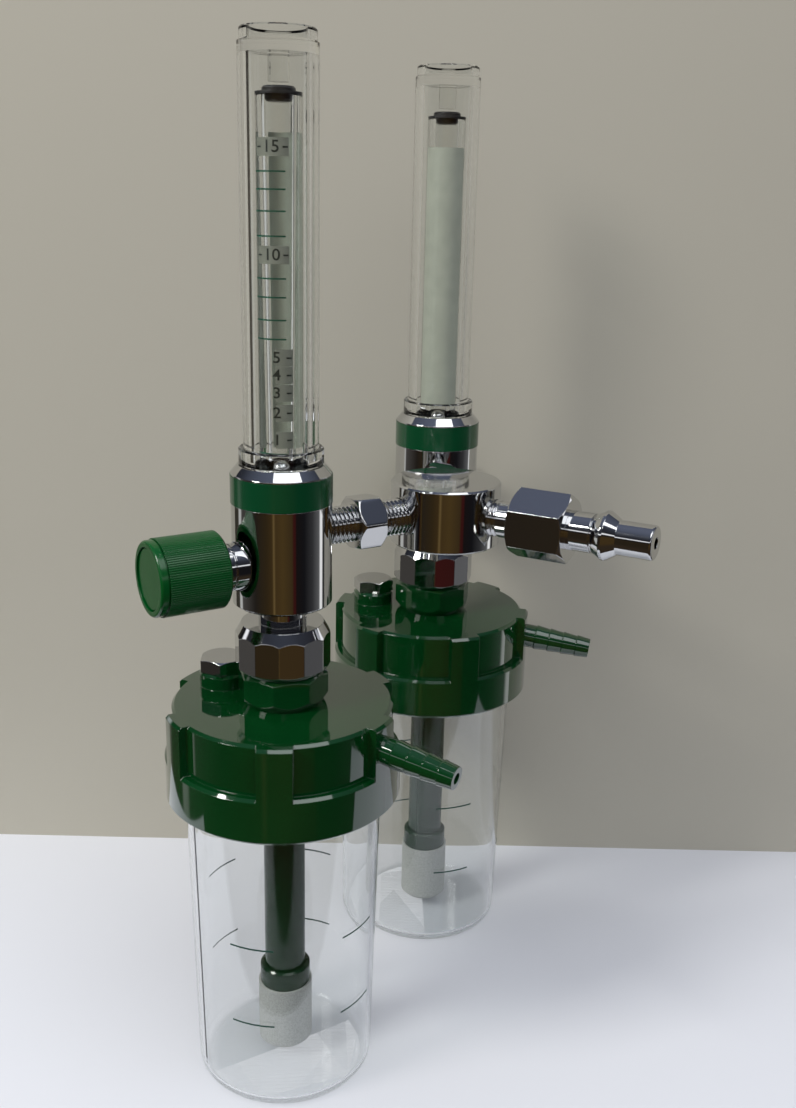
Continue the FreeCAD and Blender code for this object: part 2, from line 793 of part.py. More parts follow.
def valve_stem(tag):
    """Needle, seal groove and spindle; closed, the needle is just off its seat."""
    body = new_body("valve_stem_" + tag, unit_spot(tag, valve_axis))
    tip = size.seat_place - size.needle_tip_diameter
    waist = size.stem_waist / 2
    groove_start, groove_end = stem_seal_groove()
    hole_end = size.stem_end_place - size.screw_length
    tapped = size.screw_diameter / 2 + size.running_fit
    turn(body, [(tip, 0), (tip, size.needle_tip_diameter / 2), (tip + size.needle_length, waist),
                (tip + size.needle_length, stem_radius), (groove_start, stem_radius),
                (groove_start, waist), (groove_end, waist), (groove_end, stem_radius),
                (size.stem_end_place, stem_radius), (size.stem_end_place, tapped),
                (hole_end, tapped), (hole_end, 0)], "H_Axis")


def stem_seal(tag):
    body = new_body("stem_seal_" + tag, unit_spot(tag, valve_axis))
    inner = size.stem_waist / 2 + size.running_fit
    outer = size.chamber_diameter / 2 - size.running_fit
    start = size.stem_seal_place
    end = start + size.stem_seal_width
    edge = size.stem_seal_corner
    turn(body, [(start + edge, inner), (start, inner + edge), (start, outer - edge),
                (start + edge, outer), (end - edge, outer), (end, outer - edge),
                (end, inner + edge), (end - edge, inner)], "H_Axis")


knob_radius = size.knob_diameter / 2
knob_rear = size.gland_end_place + size.travel_gap
knob_face = size.knob_end_place - size.knob_cap_recess - size.knob_cap_thickness
knob_lip_start = size.knob_end_place - size.knob_lip_length


def knob(tag):
    """Moulded cup with a hub, fluted outside, a smooth lip in front and a seat for the cap."""
    body = new_body("knob_" + tag, unit_spot(tag, valve_axis))
    edge = size.knob_edge
    lip = size.knob_lip_diameter / 2
    groove = size.knob_lip_groove
    hub = size.knob_hub_diameter / 2
    bore = stem_radius + size.running_fit
    wall = knob_radius - size.knob_wall
    web = size.stem_end_place
    web_end = web + size.knob_web
    cap_seat = size.knob_cap_diameter / 2 + size.thread_gap
    screw = size.screw_diameter / 2 + size.thread_gap
    head = size.screw_head_diameter / 2 + size.thread_gap
    cup = turn(body, [(knob_rear, bore), (knob_rear, hub), (web, hub), (web, wall), (knob_rear, wall),
                      (knob_rear, knob_radius - edge), (knob_rear + edge, knob_radius),
                      (knob_lip_start - groove, knob_radius), (knob_lip_start - groove, lip - groove),
                      (knob_lip_start, lip - groove), (knob_lip_start, lip),
                      (size.knob_end_place, lip), (size.knob_end_place, cap_seat),
                      (knob_face, cap_seat), (knob_face, head), (web_end, head), (web_end, screw),
                      (web, screw), (web, bore)], "H_Axis")
    round_rims(body, cup, size.knob_lip_round, [(lip, size.knob_end_place)])
    flute_end = knob_lip_start - groove
    depth, half = size.flute_depth, size.flute_width / 2
    sketch = new_sketch(body, "YZ_Plane", (0, 0), knob_rear)
    draw_outline(sketch, [(-half, knob_radius + depth), (0, knob_radius - depth),
                          (half, knob_radius + depth)])
    flute = body.newObject("PartDesign::Pocket", body.Label + "_flute")
    flute.Profile = sketch
    flute.Reversed = True
    flute.Length = (flute_end - knob_rear).value
    flute.setExpression("Length", (flute_end - knob_rear).text)
    repeat(body, flute, "X_Axis", size.count("flute_count"))


def knob_cap(tag):
    body = new_body("knob_cap_" + tag, unit_spot(tag, valve_axis))
    radius = size.knob_cap_diameter / 2
    end = knob_face + size.knob_cap_thickness
    edge = size.knob_lip_groove
    turn(body, [(knob_face, 0), (knob_face, radius), (end - edge, radius), (end, radius - edge),
                (end, 0)], "H_Axis")


def knob_screw(tag):
    body = new_body("knob_screw_" + tag, unit_spot(tag, valve_axis))
    seat = size.stem_end_place + size.knob_web
    shank = size.screw_diameter / 2
    head = size.screw_head_diameter / 2
    end = seat + size.screw_head_height
    turn(body, [(size.stem_end_place - size.screw_length + size.thread_lead, 0),
                (size.stem_end_place - size.screw_length + size.thread_lead, shank),
                (seat, shank), (seat, head), (end, head), (end, 0)], "H_Axis")


# The union: outlet tail, nut, inlet nipple and collar

nipple_head_bottom = collar_top + size.nut_lip_thickness
union_seal_bottom = nipple_head_bottom + size.inlet_head_height
tail_bottom = union_seal_bottom + size.union_seal_thickness


def outlet_tail(tag):
    body = new_body("outlet_tail_" + tag, unit_spot(tag, tail_bottom))
    bore = size.outlet_bore / 2
    thread = size.tail_thread_diameter / 2
    shoulder = nut_top - tail_bottom
    neck_end = shoulder + size.neck_length
    spigot = size.tail_spigot_diameter / 2
    lead = size.thread_lead
    turn(body, [(bore, 0), (thread - lead, 0), (thread, lead), (thread, shoulder),
                (size.neck_diameter / 2, shoulder), (size.neck_diameter / 2, neck_end),
                (spigot, neck_end), (spigot, neck_end + size.tail_spigot_length),
                (bore, neck_end + size.tail_spigot_length)])


def union_nut(tag):
    """Twelve-sided nut, scalloped where the cones cut its corners."""
    body = new_body("union_nut_" + tag, unit_spot(tag, collar_top))
    sides = size.count("nut_sides")
    extrude(body, "XY_Plane", polygon(size.nut_flats, sides), size.nut_height)
    corner = size.nut_flats / 2 / math.cos(math.pi / sides)
    bevel(body, size.nut_height - size.nut_top_slope, size.nut_height, size.nut_top_diameter / 2, corner)
    bevel(body, size.nut_base_slope, 0, size.nut_base_diameter / 2, corner)
    thread = size.tail_thread_diameter / 2 + size.thread_gap
    turn(body, [(0, 0), (inlet_hole, 0), (inlet_hole, size.nut_lip_thickness),
                (thread, size.nut_lip_thickness), (thread, size.nut_height), (0, size.nut_height)],
         cut=True)


def inlet_nipple(tag):
    """Spigot in the dip tube, lock flange under the lid, stem and head inside the nut."""
    foot = lid_ceiling - size.inlet_lock_height - size.inlet_spigot_length
    body = new_body("inlet_nipple_" + tag, unit_spot(tag, foot))
    bore = size.outlet_bore / 2
    spigot = dip_tube_bore - size.thread_gap
    lock = size.inlet_lock_diameter / 2
    lock_start = size.inlet_spigot_length
    lock_end = lock_start + size.inlet_lock_height
    head_start = nipple_head_bottom - foot
    head_end = head_start + size.inlet_head_height
    turn(body, [(bore, 0), (spigot, 0), (spigot, lock_start), (lock, lock_start), (lock, lock_end),
                (inlet_stem_radius, lock_end), (inlet_stem_radius, head_start),
                (size.inlet_head_diameter / 2, head_start), (size.inlet_head_diameter / 2, head_end),
                (bore, head_end)])


def inlet_collar(tag):
    """Eight-sided lock ring, rounded on top and drawn in at its foot."""
    body = new_body("inlet_collar_" + tag, unit_spot(tag, lid_top).turned(lid_turns[tag]))
    sides = size.count("collar_sides")
    half_side = 180 / sides
    extrude(body, "XY_Plane", polygon(size.collar_flats, sides, half_side), size.collar_height)
    corner = size.collar_flats / 2 / math.cos(math.pi / sides)
    bevel(body, size.collar_height - size.collar_top_edge, size.collar_height,
          size.collar_flats / 2 - size.collar_top_edge, corner)
    bevel(body, size.collar_base_slope, 0, size.collar_base_diameter / 2, corner)
    turn(body, [(0, 0), (inlet_hole, 0), (inlet_hole, size.collar_height), (0, size.collar_height)],
         cut=True)


# The humidifier: lid, relief valve, jar, dip tube and diffuser

def lid_spot(tag, z):
    """The unit's axis with local +X along the lid's barbed outlet."""
    return unit_spot(tag, z).turned(lid_turns[tag])


def relief_spot(tag, z):
    """The relief valve's axis, opposite the barbed outlet."""
    spot = lid_spot(tag, z)
    return Spot(spot.x - size.relief_place * cosine(spot.turn),
                spot.y - size.relief_place * sine(spot.turn), z, spot.turn)


def barb_profile():
    """Root land, then barbs that narrow towards the tip, for a push-on hose."""
    root = size.barb_root_diameter / 2
    tip = size.barb_tip_diameter / 2
    length = size.barb_reach / cosine(size.barb_slope_angle)
    count = size.count("barb_count")
    pitch = (length - size.barb_root_length) / count
    corners = [(0, 0), (0, root - size.barb_step), (size.barb_root_length, root - size.barb_step)]
    for index in range(count):
        crest = root - (root - tip) * (index / count)
        valley = root - (root - tip) * ((index + 1) / count) - size.barb_step
        start = size.barb_root_length + pitch * index
        corners.append((start + size.barb_step, crest))
        corners.append((start + pitch, valley))
    corners.append((length, 0))
    return corners, length


def humidifier_lid(tag):
    """Moulded lid: threaded skirt, recessed upper wall with six lugs, relief boss and outlet."""
    body = new_body("humidifier_lid_" + tag, lid_spot(tag, lid_bottom))
    skirt = size.lid_skirt_height
    top = skirt + size.lid_upper_height
    ceiling = top - size.lid_plate
    edge = size.lid_edge
    upper = lid_upper_radius
    socket = dip_tube_radius + size.thread_gap
    socket_end = ceiling - size.socket_depth
    socket_outer = socket + size.socket_wall
    turn(body, [(lid_bore, 0), (lid_radius - edge, 0), (lid_radius, edge), (lid_radius, skirt - edge),
                (lid_radius - edge, skirt), (upper, skirt), (upper, top - edge), (upper - edge, top),
                (inlet_hole, top), (inlet_hole, ceiling), (socket, ceiling), (socket, socket_end),
                (socket_outer, socket_end), (socket_outer, ceiling), (jar_mouth, ceiling),
                (jar_mouth, skirt), (lid_bore, skirt)])
    # Lugs, rooted in both walls and trimmed to the skirt's radius with a soft top edge
    root = (jar_mouth + upper) / 2
    seat = (lid_bore + lid_radius) / 2
    beyond = lid_radius + size.lid_wall
    lug = extrude(body, "XZ_Plane", [(root, skirt), (seat, skirt), (seat, skirt - edge),
                                     (beyond, skirt - edge), (beyond, top), (root, top)],
                  size.lug_width, -(size.lug_width / 2))
    repeat(body, lug, "Z_Axis", size.count("lug_count"))
    turn(body, [(lid_radius, skirt - edge), (lid_radius, top - edge), (lid_radius - edge, top),
                (beyond + edge, top), (beyond + edge, skirt - edge)], cut=True)
    # Relief boss and barbed outlet
    boss = size.relief_boss_diameter / 2
    boss_top = top + size.relief_boss_height
    relief = (-size.relief_place, 0)
    turn(body, [(0, ceiling), (boss, ceiling), (boss, boss_top - edge), (boss - edge, boss_top),
                (0, boss_top)], shift=relief)
    outlet = (barb_root_place, top - size.barb_drop)
    corners, length = barb_profile()
    turn(body, corners, "H_Axis", outlet, -size.barb_slope_angle.value)
    # Relief seat and chamber, and the outlet's bore
    seat = size.relief_seat_diameter / 2
    chamber = size.relief_chamber_diameter / 2
    chamber_floor = ceiling + size.relief_seat_thickness
    turn(body, [(0, ceiling), (seat, ceiling), (seat, chamber_floor), (chamber, chamber_floor),
                (chamber, boss_top), (0, boss_top)], shift=relief, cut=True)
    bore = size.barb_bore / 2
    inside = jar_mouth - barb_root_place - bore
    turn(body, [(inside, 0), (inside, bore), (length, bore), (length, 0)], "H_Axis", outlet,
         -size.barb_slope_angle.value, cut=True)


def relief_cap(tag):
    """Hexagon cap whose spigot screws into the boss, hollow for the spring, with a vent."""
    body = new_body("relief_cap_" + tag, relief_spot(tag, relief_boss_top - size.relief_cap_spigot))
    spigot = size.relief_cap_spigot
    top = spigot + size.relief_cap_height
    extrude(body, "XY_Plane", polygon(size.relief_cap_flats, 6), size.relief_cap_height, spigot)
    corner = size.relief_cap_flats / 2 / math.cos(math.pi / 6)
    bevel(body, top - size.relief_cap_edge, top, size.relief_cap_flats / 2 - size.hex_face_inset,
          corner)
    outer = size.relief_chamber_diameter / 2 - size.thread_gap
    turn(body, [(0, 0), (outer, 0), (outer, spigot + size.relief_cap_edge),
                (0, spigot + size.relief_cap_edge)])
    turn(body, [(0, 0), (relief_pocket, 0), (relief_pocket, top - size.relief_cap_roof),
                (0, top - size.relief_cap_roof)], cut=True)
    vent = size.relief_vent_diameter / 2
    turn(body, [(0, 0), (0, vent), (corner, vent), (corner, 0)], "H_Axis",
         (0, spigot + size.relief_cap_height / 2 - vent), cut=True)


poppet_bottom = lid_ceiling + size.relief_seat_thickness + size.travel_gap
spring_bottom = poppet_bottom + size.poppet_thickness + size.thread_gap
spring_ceiling = relief_boss_top + size.relief_cap_height - size.relief_cap_roof


def relief_poppet(tag):
    body = new_body("relief_poppet_" + tag, relief_spot(tag, poppet_bottom))
    thickness = size.poppet_thickness
    pin = size.poppet_pin_diameter / 2
    pin_end = thickness + size.poppet_pin_length
    turn(body, [(0, 0), (size.poppet_diameter / 2, 0), (size.poppet_diameter / 2, thickness),
                (pin, thickness), (pin, pin_end), (0, pin_end)])


def relief_spring(tag):
    wire = size.spring_wire / 2
    body = new_body("relief_spring_" + tag, relief_spot(tag, spring_bottom + wire))
    sketch = new_sketch(body, "XZ_Plane")
    draw_circle(sketch, size.spring_diameter / 2 - wire, wire)
    coil = body.newObject("PartDesign::AdditiveHelix", body.Label + "_coil")
    coil.Profile = sketch
    coil.ReferenceAxis = (sketch, ["V_Axis"])
    coil.Mode = "height-turns-angle"
    height = spring_ceiling - size.thread_gap - spring_bottom - size.spring_wire
    coil.Height = height.value
    coil.Turns = size.count("spring_turns")
    coil.setExpression("Height", height.text)


def jar(tag):
    """Clear jar: slight draft, flat floor, and thread ridges that the lid's skirt covers."""
    body = new_body("jar_" + tag, unit_spot(tag, 0))
    base = jar_base_radius
    wall = size.jar_wall
    ridge = jar_thread_radius
    slope_end = lid_bottom - size.travel_gap
    corners = [(0, 0), (base, 0), (jar_top_radius, slope_end)]
    upper = jar_rim - size.jar_thread_below_rim - size.jar_thread_height
    for start in (upper - size.jar_thread_spacing, upper):
        rise = size.jar_thread_height
        slope = size.jar_thread_slope
        corners.append((jar_top_radius, start))
        corners.append((ridge, start + slope))
        corners.append((ridge, start + rise - slope))
        corners.append((jar_top_radius, start + rise))
    corners += [(jar_top_radius, jar_rim), (jar_mouth, jar_rim), (jar_mouth, slope_end),
                (base - wall, size.jar_floor), (0, size.jar_floor)]
    shell = turn(body, corners)
    shell = round_rims(body, shell, size.jar_heel, [(base, as_length(0))])
    round_rims(body, shell, size.jar_heel - wall, [(base - wall, size.jar_floor)])


collar_bottom = size.diffuser_bottom + size.diffuser_height
dip_tube_bottom = collar_bottom + size.diffuser_collar_floor


def dip_tube(tag):
    body = new_body("dip_tube_" + tag, unit_spot(tag, dip_tube_bottom))
    length = lid_ceiling - size.inlet_lock_height - dip_tube_bottom
    turn(body, [(dip_tube_bore, 0), (dip_tube_radius, 0), (dip_tube_radius, length),
                (dip_tube_bore, length)])


diffuser_bore = size.diffuser_diameter / 2 - size.diffuser_wall


def diffuser_collar(tag):
    """Cap between the dip tube and the diffuser, with a spigot into the diffuser's bore."""
    spigot_end = size.diffuser_collar_spigot
    body = new_body("diffuser_collar_" + tag, unit_spot(tag, collar_bottom - spigot_end))
    bore = size.diffuser_collar_bore / 2
    spigot = diffuser_bore - size.thread_gap
    outer = size.diffuser_collar_diameter / 2
    socket = dip_tube_radius + size.thread_gap
    floor_end = spigot_end + size.diffuser_collar_floor
    top = spigot_end + size.diffuser_collar_height
    edge = size.diffuser_collar_edge
    turn(body, [(bore, 0), (spigot, 0), (spigot, spigot_end), (outer, spigot_end), (outer, top - edge),
                (outer - edge, top), (socket, top), (socket, floor_end), (bore, floor_end)])


def diffuser(tag):
    body = new_body("diffuser_" + tag, unit_spot(tag, size.diffuser_bottom))
    outer = size.diffuser_diameter / 2
    edge = size.diffuser_edge
    top = size.diffuser_height
    turn(body, [(0, 0), (outer - edge, 0), (outer, edge), (outer, top), (diffuser_bore, top),
                (diffuser_bore, top - size.diffuser_bore_depth),
                (0, top - size.diffuser_bore_depth)])


def seals():
    """Rings that the two units have alike, one node for each kind."""
    spigot = size.cover_spigot_diameter / 2
    cover_bottom = body_top - size.cover_spigot_depth - size.cover_seal_thickness
    kinds = (
        ("cover_seal", cover_bore, spigot, size.cover_seal_thickness, cover_bottom),
        ("tube_seat", size.tube_seat_hole / 2, tube_radius, size.tube_seat_thickness, pedestal_top),
        ("union_seal", size.outlet_bore / 2 + size.thread_lead, size.inlet_head_diameter / 2,
         size.union_seal_thickness, union_seal_bottom),
        ("lid_gasket", jar_mouth, lid_bore - size.thread_gap, size.gasket_thickness,
         ledge - size.gasket_thickness))
    for name, inner, outer, height, z in kinds:
        rings = [ring(name + "_" + tag, inner, outer, height, unit_spot(tag, z)) for tag in UNITS]
        group(name + "s", rings)


UNIT_PIECES = (
    meter_body, colour_band, tube_cover, metering_tube, tube_stop, float_ball,
    valve_gland, valve_stem, stem_seal, knob, knob_cap, knob_screw,
    outlet_tail, union_nut, inlet_nipple, inlet_collar,
    humidifier_lid, relief_cap, relief_poppet, relief_spring,
    jar, dip_tube, diffuser_collar, diffuser)

manifold_block()
probe_stem()
probe_body()
for unit in UNITS:
    hex_nipple(unit)
    for make_piece in UNIT_PIECES:
        make_piece(unit)
seals()
doc.recompute()


# Checks before anything is written

CUTS = ("PartDesign::Groove", "PartDesign::Pocket")
ADDITIONS = ("PartDesign::Pad", "PartDesign::Revolution", "PartDesign::AdditiveHelix")


def check_cuts(body):
    """Every cut takes material away and every addition adds some."""
    before = 0.0
    for feature in body.Group:
        if not feature.isDerivedFrom("PartDesign::Feature"):
            continue
        after = feature.Shape.Volume
        wrong_cut = feature.TypeId in CUTS and after >= before
        wrong_addition = feature.TypeId in ADDITIONS and after <= before
        if wrong_cut or wrong_addition:
            raise RuntimeError(body.Label + ": " + feature.Name + " changes the volume the wrong way")
        before = after


for item in doc.Objects:
    if "Invalid" in item.State or "Error" in item.State:
        raise RuntimeError(item.Label + " failed: " + str(item.State))
for node in nodes:
    if node.Shape.isNull() or not node.Shape.isValid():
        raise RuntimeError(node.Label + " has no valid shape")
    if node.TypeId == "PartDesign::Body":
        check_cuts(node)
        if len(node.Shape.Solids) != 1:
            raise RuntimeError(node.Label + " is not one solid")

os.makedirs("parts", exist_ok=True)
for node in nodes:
    node.Shape.exportStep(os.path.join("parts", node.Label + ".step"))
print(len(nodes), "nodes written")
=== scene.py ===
import json
import math

import bmesh
import bpy
from mathutils import Matrix, Vector

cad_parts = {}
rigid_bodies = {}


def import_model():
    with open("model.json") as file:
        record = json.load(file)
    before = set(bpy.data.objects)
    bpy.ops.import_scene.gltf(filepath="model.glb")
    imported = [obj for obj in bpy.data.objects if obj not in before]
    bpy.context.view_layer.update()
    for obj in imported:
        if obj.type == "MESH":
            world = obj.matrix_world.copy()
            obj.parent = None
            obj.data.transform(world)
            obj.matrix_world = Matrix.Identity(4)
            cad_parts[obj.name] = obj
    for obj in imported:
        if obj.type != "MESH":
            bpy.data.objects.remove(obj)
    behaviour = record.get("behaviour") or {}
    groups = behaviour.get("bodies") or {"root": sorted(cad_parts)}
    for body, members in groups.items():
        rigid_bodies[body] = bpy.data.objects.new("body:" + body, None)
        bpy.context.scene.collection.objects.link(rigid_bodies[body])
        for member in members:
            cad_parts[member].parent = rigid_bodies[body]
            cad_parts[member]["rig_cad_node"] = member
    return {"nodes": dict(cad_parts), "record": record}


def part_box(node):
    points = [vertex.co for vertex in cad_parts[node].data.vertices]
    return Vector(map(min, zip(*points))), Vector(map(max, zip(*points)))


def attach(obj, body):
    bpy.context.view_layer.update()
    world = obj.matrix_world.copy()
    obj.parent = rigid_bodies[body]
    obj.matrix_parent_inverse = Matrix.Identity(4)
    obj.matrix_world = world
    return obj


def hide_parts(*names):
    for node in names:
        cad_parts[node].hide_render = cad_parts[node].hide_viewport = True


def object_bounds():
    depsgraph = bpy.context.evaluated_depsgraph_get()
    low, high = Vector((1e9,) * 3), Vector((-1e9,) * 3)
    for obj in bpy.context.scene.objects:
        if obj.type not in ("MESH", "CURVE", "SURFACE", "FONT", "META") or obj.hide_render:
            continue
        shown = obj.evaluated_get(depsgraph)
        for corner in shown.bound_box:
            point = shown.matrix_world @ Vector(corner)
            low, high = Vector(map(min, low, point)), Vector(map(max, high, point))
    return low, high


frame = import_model()
cad_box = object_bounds()

# Twin oxygen flowmeter with two humidifier bottles. Metres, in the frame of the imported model.

MM = 0.001
UNITS = ("a", "b")

# Camera, worked out from the photograph; lengths in metres, angles in degrees, and the height and
# focal length of the photograph in its pixels
PHOTO_HEIGHT = 1108
CAMERA_PLACE = Vector((0.3725, 0.1801, 0.3182))
CAMERA_HEADING = 208.4
CAMERA_PITCH = 17.1
CAMERA_ROLL = -1.3
FOCAL_PIXELS = 1172.0
SENSOR_HEIGHT = 36.0

# Table and wall, as distances from the camera along its heading
WALL_DISTANCE = 0.5306
TABLE_EDGE_DISTANCE = 0.30
STAGE_HALF_WIDTH = 0.27
WALL_TOP = 0.5
WALL_COLOR = (0.475, 0.45, 0.375, 1.0)
TABLE_COLOR = (0.75, 0.76, 0.79, 1.0)

# What metal and glass mirror. Sides are shares of a turn round the room from behind the object, and
# heights run from 0, straight down, to 1, straight up
ROOM_SIDES = (
    (0.00, (0.36, 0.34, 0.30)), (0.13, (0.36, 0.34, 0.30)), (0.15, (0.05, 0.045, 0.035)),
    (0.198, (0.05, 0.045, 0.035)), (0.206, (0.60, 0.60, 0.58)), (0.224, (0.60, 0.60, 0.58)),
    (0.234, (0.08, 0.075, 0.07)), (0.34, (0.022, 0.018, 0.014)), (0.42, (0.040, 0.026, 0.011)),
    (0.455, (0.060, 0.036, 0.013)), (0.465, (0.18, 0.12, 0.045)), (0.475, (0.070, 0.042, 0.015)),
    (0.52, (0.085, 0.052, 0.017)), (0.580, (0.055, 0.034, 0.014)), (0.588, (0.050, 0.010, 0.009)),
    (0.600, (0.050, 0.010, 0.009)), (0.606, (0.012, 0.009, 0.009)), (0.66, (0.010, 0.010, 0.012)),
    (0.72, (0.045, 0.045, 0.048)), (0.775, (0.15, 0.15, 0.155)), (0.787, (1.2, 1.2, 1.2)),
    (0.800, (1.2, 1.2, 1.2)), (0.810, (0.04, 0.04, 0.04)), (0.845, (0.04, 0.04, 0.04)),
    (0.87, (0.34, 0.32, 0.28)), (1.00, (0.36, 0.34, 0.30)))
CEILING_SHARE = ((0.52, (0.0, 0.0, 0.0)), (0.58, (1.0, 1.0, 1.0)))
CEILING_TONES = (
    (0.55, (0.012, 0.012, 0.014)), (0.60, (0.012, 0.012, 0.014)), (0.615, (1.3, 1.3, 1.35)),
    (0.64, (1.3, 1.3, 1.35)), (0.655, (0.02, 0.02, 0.025)), (0.78, (0.04, 0.045, 0.06)),
    (0.90, (0.10, 0.115, 0.16)), (1.00, (0.15, 0.17, 0.24)))
FLOOR_SHARE = ((0.20, (1.0, 1.0, 1.0)), (0.30, (0.0, 0.0, 0.0)))
FLOOR_TONE = (0.040, 0.028, 0.018, 1.0)

# What the camera sees past the stage, and the soft light that matt surfaces get
PLAIN_TONES = ((0.496, TABLE_COLOR[:3]), (0.504, WALL_COLOR[:3]))
SOFT_SHARE = ((0.45, (0.0, 0.0, 0.0)), (0.75, (1.0, 1.0, 1.0)))
SOFT_BELOW = (0.10, 0.09, 0.08, 1.0)
SOFT_ABOVE = (0.62, 0.65, 0.74, 1.0)

# Lamps: turned from the camera's heading as seen from the object, in degrees, metres and watts
LAMPS = {
    "key": {"turn": -60, "elevation": 38, "distance": 1.6, "size": (0.40, 0.40), "power": 15.0,
            "color": (1.0, 0.98, 0.94)},
    "fill": {"turn": 25, "elevation": 60, "distance": 1.4, "size": (1.1, 0.8), "power": 6.0,
             "color": (0.97, 0.98, 1.0)},
}

# Printed flow scale: litres a minute, and millimetres below the top of the clear cover
SCALE_MARKS = {15: 33.9, 14: 40.9, 13: 46.1, 12: 52.5, 11: 59.9, 10: 65.5, 9: 72.6, 8: 78.3, 7: 85.3,
               6: 91.2, 5: 97.0, 4: 102.5, 3: 108.2, 2: 114.6, 1: 123.4}
NUMBERED_MARKS = (15, 10, 5, 4, 3, 2, 1)
SCALE_BASE = 128.0
STRIP_TOP = 29.4
SCALE_HEADINGS = {"a": 16.0, "b": 205.0}
PRINT_GAP = 0.02 * MM
PRINT_THICKNESS = 0.03 * MM
MARK_HEIGHT = 0.5 * MM
NUMBER_HEIGHT = 3.6 * MM
NUMBER_WEIGHT = 0.05 * MM
NUMBER_CUT = 0.4 * MM
FIGURE_SHARE = 0.72  # a figure's height as a share of the font's size
NUMBER_FIELD_HEIGHT = 5.4 * MM
# Angles round the metering tube from the scale's own heading: middle and half of each print
STRIP_SPAN = (180.0, 66.0)
MARK_SPAN = (-10.0, 42.0)
LONG_NUMBER = {"text": 0.0, "field": (0.0, 40.0), "dashes": (-32.0, 32.0)}
SHORT_NUMBER = {"text": 9.0, "field": (27.0, 21.0), "dashes": (38.0,)}
DASH_HALF_ANGLE = 6.0
PRINT_STEP = 3.0

# Level lines printed on the jars
LEVEL_HEIGHTS = (35.5 * MM, 67 * MM)
LEVEL_HEADINGS = {"a": -41.0, "b": -7.0}
LEVEL_PLACES = (-55.0, 55.0, 125.0, 235.0)
LEVEL_HALF_ANGLE = 13.5
LEVEL_LINE_HEIGHT = 0.65 * MM
JAR_FOOT_BAND = 6 * MM
JAR_NECK_BELOW = 2 * MM
JAR_NECK_ABOVE = 1 * MM

# Hexagons, turned to where their threads stopped
PROBE_TURN = 30.0
NIPPLE_TURN = 5.0
HEX_CHAMFER = 1.2 * MM
CHAMFER_STEPS = 6

# Pipe threads
THREAD_PITCH = 1.6 * MM
THREAD_DEPTH = 0.75 * MM
THREAD_FLAT = 0.1
THREAD_SIDES = 96
THREAD_STEPS = 12
STEM_THREAD_SHOWN = 2.6 * MM

SMOOTH_ANGLE = 35.0
GLASS_PASS = (0.89, 0.90, 0.90, 1.0)


# Scene and shader nodes

def clear_scene():
    """Removes what a new Blender file holds, and keeps the frame."""
    for item in list(bpy.data.objects):
        if "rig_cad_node" not in item and not item.name.startswith("body:"):
            bpy.data.objects.remove(item)


class Nodes:
    """A short way to add shader nodes and join them."""

    def __init__(self, tree):
        self.tree = tree
        tree.nodes.clear()

    def add(self, kind, inputs=None, **settings):
        node = self.tree.nodes.new(kind)
        for name, value in settings.items():
            setattr(node, name, value)
        for name, value in (inputs or {}).items():
            socket = node.inputs[name]
            if isinstance(value, bpy.types.NodeSocket):
                self.tree.links.new(value, socket)
            else:
                socket.default_value = value
        return node

    def math(self, operation, first, second=0.0, third=0.0):
        node = self.add("ShaderNodeMath", {0: first, 1: second, 2: third}, operation=operation)
        return node.outputs[0]

    def ramp(self, factor, stops):
        node = self.add("ShaderNodeValToRGB", {"Fac": factor})
        ramp = node.color_ramp
        while len(ramp.elements) < len(stops):
            ramp.elements.new(1.0)
        for element, (place, color) in zip(ramp.elements, stops):
            element.position = place
            element.color = (*color, 1.0)
        return node.outputs["Color"]

    def blend(self, factor, first, second):
        """Mixes two colours; 6, 7 and 2 are the colour sockets of the node."""
        node = self.add("ShaderNodeMix", {0: factor, 6: first, 7: second}, data_type="RGBA")
        return node.outputs[2]

    def noise(self, scale, detail=2.0, stretch=(1, 1, 1)):
        """Noise over the row frame, so that it stays on the piece."""
        place = self.add("ShaderNodeTexCoord").outputs["Object"]
        mapped = self.add("ShaderNodeMapping", {"Vector": place, "Scale": stretch}).outputs["Vector"]
        node = self.add("ShaderNodeTexNoise", {"Vector": mapped, "Scale": scale, "Detail": detail})
        return node.outputs["Fac"]

    def spread(self, factor, low, high):
        node = self.add("ShaderNodeMapRange", {"Value": factor, "To Min": low, "To Max": high})
        return node.outputs["Result"]


def soft_normal(nodes, edge, height, strength, distance):
    """A normal with rounded edges and a fine bump."""
    rounded = nodes.add("ShaderNodeBevel", {"Radius": edge}, samples=6).outputs["Normal"]
    bump = nodes.add("ShaderNodeBump", {"Height": height, "Normal": rounded, "Strength": strength,
                                        "Distance": distance})
    return bump.outputs["Normal"]


def new_material(name, build):
    """A node material: build adds the nodes and gives the surface shader's inputs."""
    material = bpy.data.materials.new(name)
    material.use_nodes = True
    nodes = Nodes(material.node_tree)
    inputs = build(nodes)
    surface = nodes.add("ShaderNodeBsdfPrincipled", inputs).outputs["BSDF"]
    if "Transmission Weight" in inputs:
        surface = let_light_through(nodes, surface)
    nodes.add("ShaderNodeOutputMaterial", {"Surface": surface})
    return material


def let_light_through(nodes, surface):
    """Clear pieces pass light to what they hold, and cast only a faint shadow."""
    ray = nodes.add("ShaderNodeLightPath")
    passing = nodes.math("MAXIMUM", ray.outputs["Is Shadow Ray"], ray.outputs["Is Diffuse Ray"])
    open_way = nodes.add("ShaderNodeBsdfTransparent", {"Color": GLASS_PASS})
    mixed = nodes.add("ShaderNodeMixShader", {0: passing, 1: surface, 2: open_way.outputs["BSDF"]})
    return mixed.outputs["Shader"]


def tone(nodes, color, scale, amount):
    """A colour that wanders a little lighter and darker over the surface."""
    low = tuple(part * (1 - amount) for part in color)
    high = tuple(part * (1 + amount) for part in color)
    return nodes.ramp(nodes.noise(scale), [(0.3, low), (0.7, high)])


